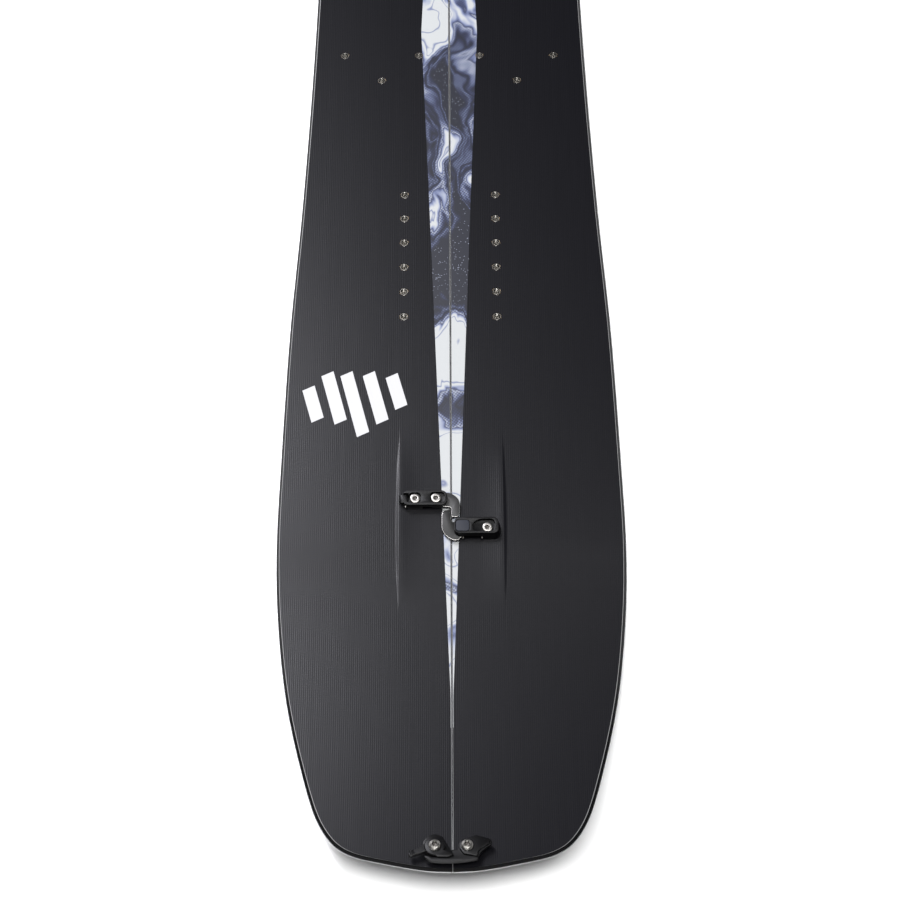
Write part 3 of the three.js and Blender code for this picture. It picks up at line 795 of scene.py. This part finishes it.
def inserts(side):
    for node in INSERT_NODES:
        low, high = (Vector(c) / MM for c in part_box(f"{side}_{node}"))
        plate = rounded(low.x, high.x, low.y, high.y, STRIP["corner"])
        parts = [bevelled(prism("strip", plate, STRIP["low"], STRIP["high"]), 0.15, 1)]
        parts += [insert_barrel(x, y) for x, y in insert_group(side, node)]
        piece, name = joined("inserts", parts), f"{side}_{node}"
        settle(piece, f"{name}_threaded", f"{side}_ski", [M_INSERT], [name], smooth=40)


def rail(side, by_height, name, made, node):
    """A rail round the outline; corners are (inset, height as a function of s)."""
    rings = [inset(by) for by, _ in by_height]
    sections = []
    for i in range(len(STATIONS)):
        section = []
        for ring, (_, height) in zip(rings, by_height):
            w, s = ring[i]
            section.append((sign_of(side) * w, y_at(s), underside(s) + height(s)))
        sections.append(section)
    piece = loft("rail", sections)
    settle(piece, f"{side}_{name}", f"{side}_ski", made, [f"{side}_{node}"], smooth=28)


def seam_rail(side, corners, end, name, made, node):
    """A rail beside the seam; corners are (x, height as a function of s)."""
    sign = sign_of(side)
    first, last = end + SEAM_ROOM, LENGTH - end - SEAM_ROOM
    stops = [end] + [s for _, s in inset(0) if first < s < last] + [LENGTH - end]
    sections = [[(sign * x, y_at(s), underside(s) + height(s)) for x, height in corners] for s in stops]
    piece = loft("seam_rail", sections)
    settle(piece, f"{side}_{name}", f"{side}_ski", made, [f"{side}_{node}"], smooth=28)


def flat(height):
    return lambda s: height


def from_top(depth):
    return lambda s: thickness(s) - depth


def outer_edge(side):
    wide, high, cut = EDGE["wide"], EDGE["high"], EDGE["break"]
    corners = [
        (0, flat(cut)), (cut, flat(0)), (wide, flat(0)),
        (wide, flat(high)), (cut, flat(high)), (0, flat(high - cut)),
    ]
    rail(side, corners, "outer_edge_ground", [M_EDGE], "outer_edge")


def outer_sidewall(side):
    """Upright at its foot, then leaning in to the topsheet's rim."""
    bottom, under = flat(SIDEWALL["bottom"]), from_top(TOPSHEET_THICK)
    corners = [
        (SIDEWALL["proud"], bottom), (SIDEWALL["inner"], bottom), (SIDEWALL["inner"], under),
        (SIDEWALL["shoulder"], under), (SIDEWALL["bevel"], from_top(SIDEWALL["bevel_deep"])),
        (SIDEWALL["foot"], flat(SIDEWALL["foot_high"])),
    ]
    rail(side, corners, "outer_sidewall_bevelled", [M_SIDEWALL], "outer_sidewall")


def inner_edge(side):
    x, high, cut = SEAM_EDGE["x"], EDGE["high"], SEAM_EDGE["break"]
    corners = [
        (SEAM_GAP + cut, flat(0)), (x, flat(0)), (x, flat(high)),
        (SEAM_GAP, flat(high)), (SEAM_GAP, flat(cut)),
    ]
    seam_rail(side, corners, SEAM_EDGE["end"], "inner_edge_ground", [M_EDGE], "inner_edge")


def inner_sidewall(side):
    """Its top shows as a pale lip between the seam and the topsheet."""
    bottom, under = flat(SIDEWALL["bottom"]), from_top(TOPSHEET_THICK)
    lip, top = SEAM_GAP + LIP, from_top(SEAM_WALL["below"])
    corners = [
        (SEAM_GAP, bottom), (SEAM_WALL["x"], bottom), (SEAM_WALL["x"], under), (lip, under), (lip, top),
        (SEAM_GAP + SEAM_WALL["break"], top), (SEAM_GAP, from_top(SEAM_WALL["break_deep"])),
    ]
    name = "inner_sidewall"
    seam_rail(side, corners, SEAM_WALL["end"], f"{name}_upright", [M_LIP], name)


def base_skin(side):
    sign = sign_of(side)
    x, low, high = BASE_SKIN["x"], BASE_SKIN["low"], BASE_SKIN["high"]
    sections = []
    for w, s in inset(BASE_SKIN["inset"]):
        if w > BASE_LEAST:
            corners = ((x, low), (w, low), (w, high), (x, high))
            sections.append([(sign * x, y_at(s), underside(s) + h) for x, h in corners])
    skin = loft("base", sections)
    settle(skin, f"{side}_base_structured", f"{side}_ski", [M_BASE], [f"{side}_base"], smooth=28)


def ski(side):
    topsheet(side)
    inserts(side)
    outer_edge(side)
    outer_sidewall(side)
    inner_edge(side)
    inner_sidewall(side)
    cad_material(f"{side}_core", M_CORE)
    base_skin(side)


def decal():
    """A generic printed motif: a fan of plain slanted bars."""
    wide, slant = DECAL["half_wide"], DECAL["slant"]
    low, high = THICK_MIDDLE + DECAL["low"], THICK_MIDDLE + DECAL["high"]
    parts = []
    for x, s, long in DECAL_BARS:
        y, half = y_at(s), long / 2
        lean = DECAL["lean"] * half
        corners = [
            (x - wide + lean, y - half), (x + wide + lean, y - half + slant),
            (x + wide - lean, y + half), (x - wide - lean, y + half - slant),
        ]
        parts.append(prism("bar", [Vector(corner) for corner in corners], low, high))
    settle(joined("decal", parts), "left_topsheet_print", "left_ski", [M_DECAL])


# ------------------------------------------------------------------ screws
def screw_profile(head, seat, high, dome):
    """Outside of the head, from its edge to the rim of the socket."""
    top = seat + high
    if not dome:
        rim = [(head - 0.15, top - 0.18), (head - 0.5, top), (head * 0.56, top)]
        return [(head, seat), (head, top - 0.5), *rim]
    profile = [(head, seat), (head, seat + 0.5)]
    for degrees in (15, 30, 45, 58):
        turn = math.radians(degrees)
        profile.append((head * math.cos(turn), seat + 0.5 + (high - 0.5) * math.sin(turn)))
    return [*profile, (head * 0.46, top)]


def socket_screw(place, head, seat, high, dome=False):
    """A stainless screw with a hexagon socket; the socket's faces are painted darker, as painted shade in its
    hollow.
    """
    x, y = place
    top = seat + high
    flats = head * 0.44
    wall = flats - 0.1
    profile = [(2.4, seat - 1.5), (2.4, seat), *screw_profile(head, seat, high, dome)]
    profile += [(flats + 0.15, top - 0.05), (wall, top - 0.45)]
    profile += [(wall, seat + high * 0.25), (0.4, seat + high * 0.15)]
    solid = turned("screw", profile, x, y, 36)
    # faces inside the socket take slot 1, the painted shade
    for face in solid.data.polygons:
        centre = face.center
        inside = math.hypot(centre.x - x, centre.y - y) < flats - 0.05 and centre.z > seat
        face.material_index = 1 if inside and centre.z < top - 0.2 else 0
    return hexed(solid, x, y, flats, seat + high * 0.2, top - 0.1)


def hexed(solid, x, y, flats, low, high):
    """Pulls the round socket's wall into a hexagon."""
    for corner in solid.data.vertices:
        dx, dy = corner.co.x - x, corner.co.y - y
        r = math.hypot(dx, dy)
        if 0.5 < r < flats + 0.05 and low - 0.1 < corner.co.z < high:
            turn = math.atan2(dy, dx) % (math.pi / 3) - math.pi / 6
            target = flats * 0.87 / math.cos(turn)
            corner.co.x = x + dx / r * target
            corner.co.y = y + dy / r * target
    return solid


# ------------------------------------------------------------------ clips
def clip_matrix(s, turned_round):
    slope = math.atan(top_slope(s))
    place = Matrix.Translation((0, y_at(s), topside(s)))
    if turned_round:
        return place @ Matrix.Rotation(math.pi, 4, "Z") @ Matrix.Rotation(-slope, 4, "X")
    return place @ Matrix.Rotation(slope, 4, "X")


def well(place, more):
    """A deep round-ended well for a screw's head, longer by more towards the seam."""
    x, y = place
    return prism("well", rounded(x - 5.2, x + 5.2 + more, y - 4.75, y + 4.75, 3.4, 6), WELL_FLOOR, OVER)


def lever_body():
    block = prism("block", rounded(-41, -3.2, 5.6, 18.8, 5.6), 0.3, 9.6)
    under = prism("under", rounded(-24, 6, 0, 30, 0.5, 2), -1, COVER)
    wells = [well(OUTER_SCREW, 0), well(INNER_SCREW, 2.4)]
    notch = prism("notch", rounded(-50, -35.6, 8.1, 16.3, 0.6, 2), -1, OVER)
    block = bevelled(combined(block, [under, notch, *wells]), 0.75, 3)
    return combined(block, [post(x, y, SCREW_BORE, -2, OVER) for x, y in (OUTER_SCREW, INNER_SCREW)])


def tension_lever():
    """A thumb lever drawn from the side, with finger grooves."""
    side = Path(-38.2, 7.1).line((-41.2, 6.9)).quad((-43.9, 6.4), (-43.9, 4.7))
    side.quad((-43.9, 3.2), (-41.2, 3.1)).line((-38.2, 2.1)).arc(LEVER_PIN, 2.5, -90, 90, 10)
    piece = prism("lever", side, -3.7, 3.7)
    placed(piece, Matrix.Translation((0, 12.2, 0)) @ Matrix.Rotation(math.pi / 2, 4, "X"))
    grooves = [rod(x, 7.2, 0.35, 8, 17, 10, 0.1) for x in (-42.6, -41.6, -40.6)]
    return combined(bevelled(piece, 0.35), grooves)


def lever_hook():
    """A slotted plate on the inner screw, an arm over the seam and a tip towards the nose."""
    x, y = INNER_SCREW
    path = Path(-14.8, 18.8).arc((-14.8, y), HOOK["hub"], 90, 270).line((-3.5, 5.8))
    path.quad((0.25, 5.8), (0.25, 3)).line((0.25, -2.4)).quad((0.4, -3.4), (1.4, -3.4)).line((5, -3.4))
    path.quad((6.2, -3.2), (6.5, -1)).line((7.3, 7.6)).quad((7.3, 15.5), (-2.2, 18.8))
    plate = prism("claw", path, HOOK["low"], HOOK["high"])
    slot = Path(x, 9.2).arc(INNER_SCREW, SCREW_BORE, -90, 90).arc((-15.1, y), SCREW_BORE, 90, 270)
    # the bevel's faces take slot 1, the painted edge highlight
    return bevelled(combined(plate, [prism("slot", slot, 0, 6)]), 0.26, slot=1)


def button_hook():
    """A plate that swings on the pivot screw, its tip towards the tail beyond the seam."""
    px, py = PIVOT
    hub = HOOK["hub"]
    path = Path(px, py + hub).line((4.6, -8.2)).quad((-0.25, -8.6), (-0.25, -5.6)).line((-0.25, 1.6))
    path.quad((-0.4, 3.2), (-2.2, 3.2)).line((-5.4, 2.6)).quad((-7.6, 1.8), (-8, -2)).line((-8.1, -12))
    path.quad((-7.6, -21), (2.5, -24.8)).line((6, -24.4), (px, py - hub)).arc(PIVOT, hub, -90, 90)
    plate = prism("claw", path, HOOK["low"], HOOK["high"])
    # the bevel's faces take slot 1, the painted edge highlight
    return bevelled(combined(plate, [post(px, py, 3.2, 0, 6)]), 0.32, slot=1)


def button_block():
    """The housing's outside, with its top drawn in at the nose side and the outer end."""
    block = prism("block", rounded(2.6, 41.3, -22.6, -6, 5.0), 0.3, 10)
    for corner in block.data.vertices:
        if corner.co.z > 9:
            corner.co.y += max(0.0, (-14 - corner.co.y) / 8.6) * 2.2
            corner.co.x -= max(0.0, (corner.co.x - 30) / 11.3) * 2.0
    return block


def finger_scoop():
    """The recess beside the button, with a floor that rises towards it."""
    recess = Path(17.6, -13).quad((20, -7.7), (27, -7.6)).line((33.2, -7.6)).quad((36.4, -8), (36.6, -12))
    recess.quad((36.6, -18), (33.6, -18.7)).line((20, -18.9)).quad((17.6, -18.6), (17.6, -13))
    scoop = prism("scoop", recess, 6.0, OVER)
    for corner in scoop.data.vertices:
        if corner.co.z < 7:
            corner.co.z += max(0.0, (24 - corner.co.x) / 6.4) * 1.6
    return scoop


def button_body():
    under = prism("under", rounded(-6, 26, -30, 0, 0.5, 2), -1, COVER)
    pad_well = prism("well", rounded(3.5, 15.3, -19.1, -8.5, 2.4, 6), WELL_FLOOR, OVER)
    block = bevelled(combined(button_block(), [under, finger_scoop(), pad_well]), 0.7, 3)
    return combined(block, [post(x, y, SCREW_BORE, -2, OVER) for x, y in (BODY_SCREW, PIVOT)])


def lever_pin():
    return rod(*LEVER_PIN, PIN_RADIUS, 4.9, 19.5)


def flank_pins():
    """Two small steel pin ends on the nose side of the button-side body."""
    return joined("pins", [rod(x, 3.4, 0.8, -23.0, -20.0, 16, 0.2) for x in FLANK_PIN_X])


def release_button():
    return bevelled(prism("pad", rounded(3.8, 15.0, -18.8, -8.8, 2.4), 8.4, 10.4), 0.45, 3)


def putter(end, matrix):
    """A short call that hands a clip's piece to the frame in place of its CAD node."""
    def put(piece, what, body, slot, made, node):
        settle(piece, f"{end}_{what}", body, made, [f"{end}_{node}"], matrix)
    return put


def seam_clip(end, s):
    turned_round = end == "rear"
    lever_ski = "right_ski" if turned_round else "left_ski"
    button_ski = "left_ski" if turned_round else "right_ski"
    matrix = clip_matrix(s, turned_round)
    put = putter(end, matrix)
    # the second material of each hook is the painted edge highlight on its bevels
    bright = [M_HOOK, M_HOOK_EDGE_HIGHLIGHT]
    dark = [M_HOOK_DARK, M_HOOK_EDGE_HIGHLIGHT]
    put(lever_body(), "lever_body_moulded", lever_ski, "body", [M_BODY], "lever_body")
    put(lever_hook(), "lever_hook_stamped", f"{end}_sliding_claw", "hook", bright, "lever_hook")
    put(tension_lever(), "lever_thumb", f"{end}_tension_lever", "body", [M_BODY], "lever")
    put(lever_pin(), "lever_pin_turned", lever_ski, "screw", [M_SCREW], "lever_pin")
    for place, node in ((OUTER_SCREW, "outer_screw"), (INNER_SCREW, "inner_screw")):
        put(socket_screw(place, **SEAM_SCREW), f"{node}_socket", lever_ski, "screw", SCREWS, node)
    put(button_body(), "button_body_moulded", button_ski, "body", [M_BODY], "button_body")
    settle(flank_pins(), f"{end}_button_body_pins", button_ski, [M_SCREW], (), matrix)
    put(button_hook(), "button_hook_stamped", f"{end}_swinging_claw", "hook", dark, "button_hook")
    put(release_button(), "button_pad", f"{end}_release_button", "button", [M_BUTTON], "button")
    body_screw = socket_screw(BODY_SCREW, **DEEP_SCREW)
    put(body_screw, "body_screw_socket", button_ski, "screw", SCREWS, "body_screw")
    cad_material(f"{end}_pivot_screw", M_SCREW)


def end_bar():
    """A bar round its own screw that crosses the seam on the nose side of the lever's hub."""
    x = END_BAR_X
    path = Path(-22, -7.6).arc((END_LEVER_X, 0), HUB["radius"] + HUB["gap"], -122, -38, 14)
    path.line((-1, -2.6), (4.6, -2.6), (4.6, 2)).quad((x - 5, 7), (x + 1.5, 7.4)).line((18, 10.1), (29, 6.6))
    path.quad((31, 4.6), (29, 1.7)).line((23.6, -2)).quad((20.6, -5.4), (19, -10.2)).line((16, -11))
    path.quad((-0.5, -14), (-15, -12.2), 16).quad((-19, -11.4), (-22, -7.6))
    low = bevelled(prism("bar", path, HUB["low"], 8.1), 0.6)
    crest = Path(5, -2.4).line((8, -7), (18.4, -9), (20.4, -3.4), (28.4, 2.2), (28.4, 6.2), (18, 9.6))
    crest.line((10, 6.6), (5, 2.6))
    high = bevelled(prism("crest", crest, 7.1, HUB["high"], 0.5), 0.5)
    return combined(combined(low, [high], "UNION"), [post(x, 0, SCREW_BORE, 0, 20)])


def end_lever():
    """A hub with a ridged arm, and a tooth that reaches over the bar."""
    x, radius, high = END_LEVER_X, HUB["radius"], HUB["high"]
    rounded_hub = [(7.7, HUB["low"]), (radius, 4.9), (radius, 9.3), (7.4, high)]
    hub = bevelled(turned("hub", rounded_hub, x, 0), 0.05, 1)
    arm = Path(x - 4, 5).line((-29.6, -3.4), (-32.4, -3.1), (-33.6, -6.9), (-31.4, -8.4), (-29.8, -7.2))
    arm.line((-21, -4.4), (x - 4, -4.4))
    tooth = Path(x, 0).line((x + 6.4, -3.4), (x + 13, -4), (x + 14.4, -7.4), (x + 10, -9.4))
    tooth.line((x + 2, -9.2), (x - 2, -6))
    added = [bevelled(prism("arm", arm, HUB["low"], 9.1), 0.5)]
    added.append(bevelled(prism("tooth", tooth, 8.9, high), 0.4))
    for ridge_x, ridge_y in ((-32.4, -5.3), (-31.0, -5.0), (-29.6, -4.8)):
        place = Matrix.Translation((ridge_x, ridge_y, 0)) @ Matrix.Rotation(0.3, 4, "Z")
        added.append(placed(rod(0, 9.0, 0.45, -1.9, 1.9, 10, 0.2), place))
    return combined(combined(hub, added, "UNION"), [post(x, 0, SCREW_BORE, 0, 20)])


def lever_base():
    x = END_LEVER_X
    path = Path(x - 9.2, 2).arc((x, 3.6), 9.2, 180, 45, 18).line((-1.4, -0.6), (-4, -3.1), (-8.6, -5.6))
    path.line((x, -7.2), (x - 6.6, -4.2))
    pad = combined(prism("pad", path, 0.4, PAD_TOP), [post(x, 0, SCREW_BORE, -5, 20)])
    return bevelled(pad, 0.5)


def bar_spacer():
    profile = [(6.2, 0.4), (6.4, 0.6), (6.4, 4.1), (6.2, PAD_TOP)]
    return combined(turned("disc", profile, END_BAR_X, 0), [post(END_BAR_X, 0, SCREW_BORE, -5, 20)])


def end_screw(x):
    return socket_screw((x, 0), **DOME_SCREW)


def end_clip(end, s):
    turned_round = end == "tail"
    lever_ski = "right_ski" if turned_round else "left_ski"
    bar_ski = "left_ski" if turned_round else "right_ski"
    put = putter(end, clip_matrix(s, turned_round))
    put(end_lever(), "lever_moulded", f"{end}_clip_lever", "body", [M_BODY], "lever")
    put(lever_base(), "lever_base_moulded", lever_ski, "body", [M_BODY], "lever_base")
    put(end_bar(), "bar_moulded", f"{end}_clip_bar", "body", [M_BODY], "bar")
    put(bar_spacer(), "bar_spacer_turned", bar_ski, "body", [M_BODY], "bar_spacer")
    put(end_screw(END_LEVER_X), "lever_screw_domed", lever_ski, "screw", DOMES, "lever_screw")
    put(end_screw(END_BAR_X), "bar_screw_domed", bar_ski, "screw", DOMES, "bar_screw")


# ------------------------------------------------------------------ floor, lights, camera
def look_at(obj, target):
    obj.rotation_euler = (Vector(target) - obj.location).to_track_quat("-Z", "Y").to_euler()


def floor():
    mesh = bpy.data.meshes.new("floor")
    reach = FLOOR["reach"]
    corners = [(-reach, -reach, 0), (reach, -reach, 0), (reach, reach, 0), (-reach, reach, 0)]
    mesh.from_pydata(corners, [], [(0, 1, 2, 3)])
    plane = new_object("floor", mesh)
    plane.location.z = -FLOOR["below"]
    mesh.materials.append(material("floor_white", (0.93, 0.93, 0.93), 0.9, specular=0.0))


def area_light(name, place, target, size, power, colour):
    light = bpy.data.lights.new(name, "AREA")
    light.shape = "RECTANGLE"
    light.size, light.size_y = size
    light.energy = power
    light.color = colour
    lamp = new_object(name, light)
    lamp.location = place
    look_at(lamp, target)


def camera():
    """Looks down the board from beyond its nose with a long lens."""
    target = Vector((VIEW["x"], y_at(VIEW["s"]) * MM, topside(VIEW["s"]) * MM))
    tilt = math.radians(VIEW["tilt"])
    data = bpy.data.cameras.new("camera")
    data.sensor_width = VIEW["sensor"]
    data.lens = VIEW["lens"]
    eye = new_object("camera", data)
    eye.location = target + VIEW["distance"] * Vector((0, -math.sin(tilt), math.cos(tilt)))
    look_at(eye, target)
    eye.rotation_euler.rotate_axis("Z", math.radians(VIEW["roll"]))
    bpy.context.scene.camera = eye


def light_up():
    world = bpy.data.worlds.new("world")
    world.use_nodes = True
    background = world.node_tree.nodes["Background"]
    background.inputs["Color"].default_value = (1, 1, 1, 1)
    background.inputs["Strength"].default_value = WORLD_STRENGTH
    bpy.context.scene.world = world
    for name, settings in LIGHTS.items():
        area_light(name, *settings)
    bpy.context.scene.view_settings.view_transform = "Standard"


# ------------------------------------------------------------------ the scene
for side in ("left", "right"):
    ski(side)
decal()
for end, s in SEAM_CLIP_S.items():
    seam_clip(end, s)
for end, s in END_CLIP_S.items():
    end_clip(end, s)
floor()
light_up()
camera()
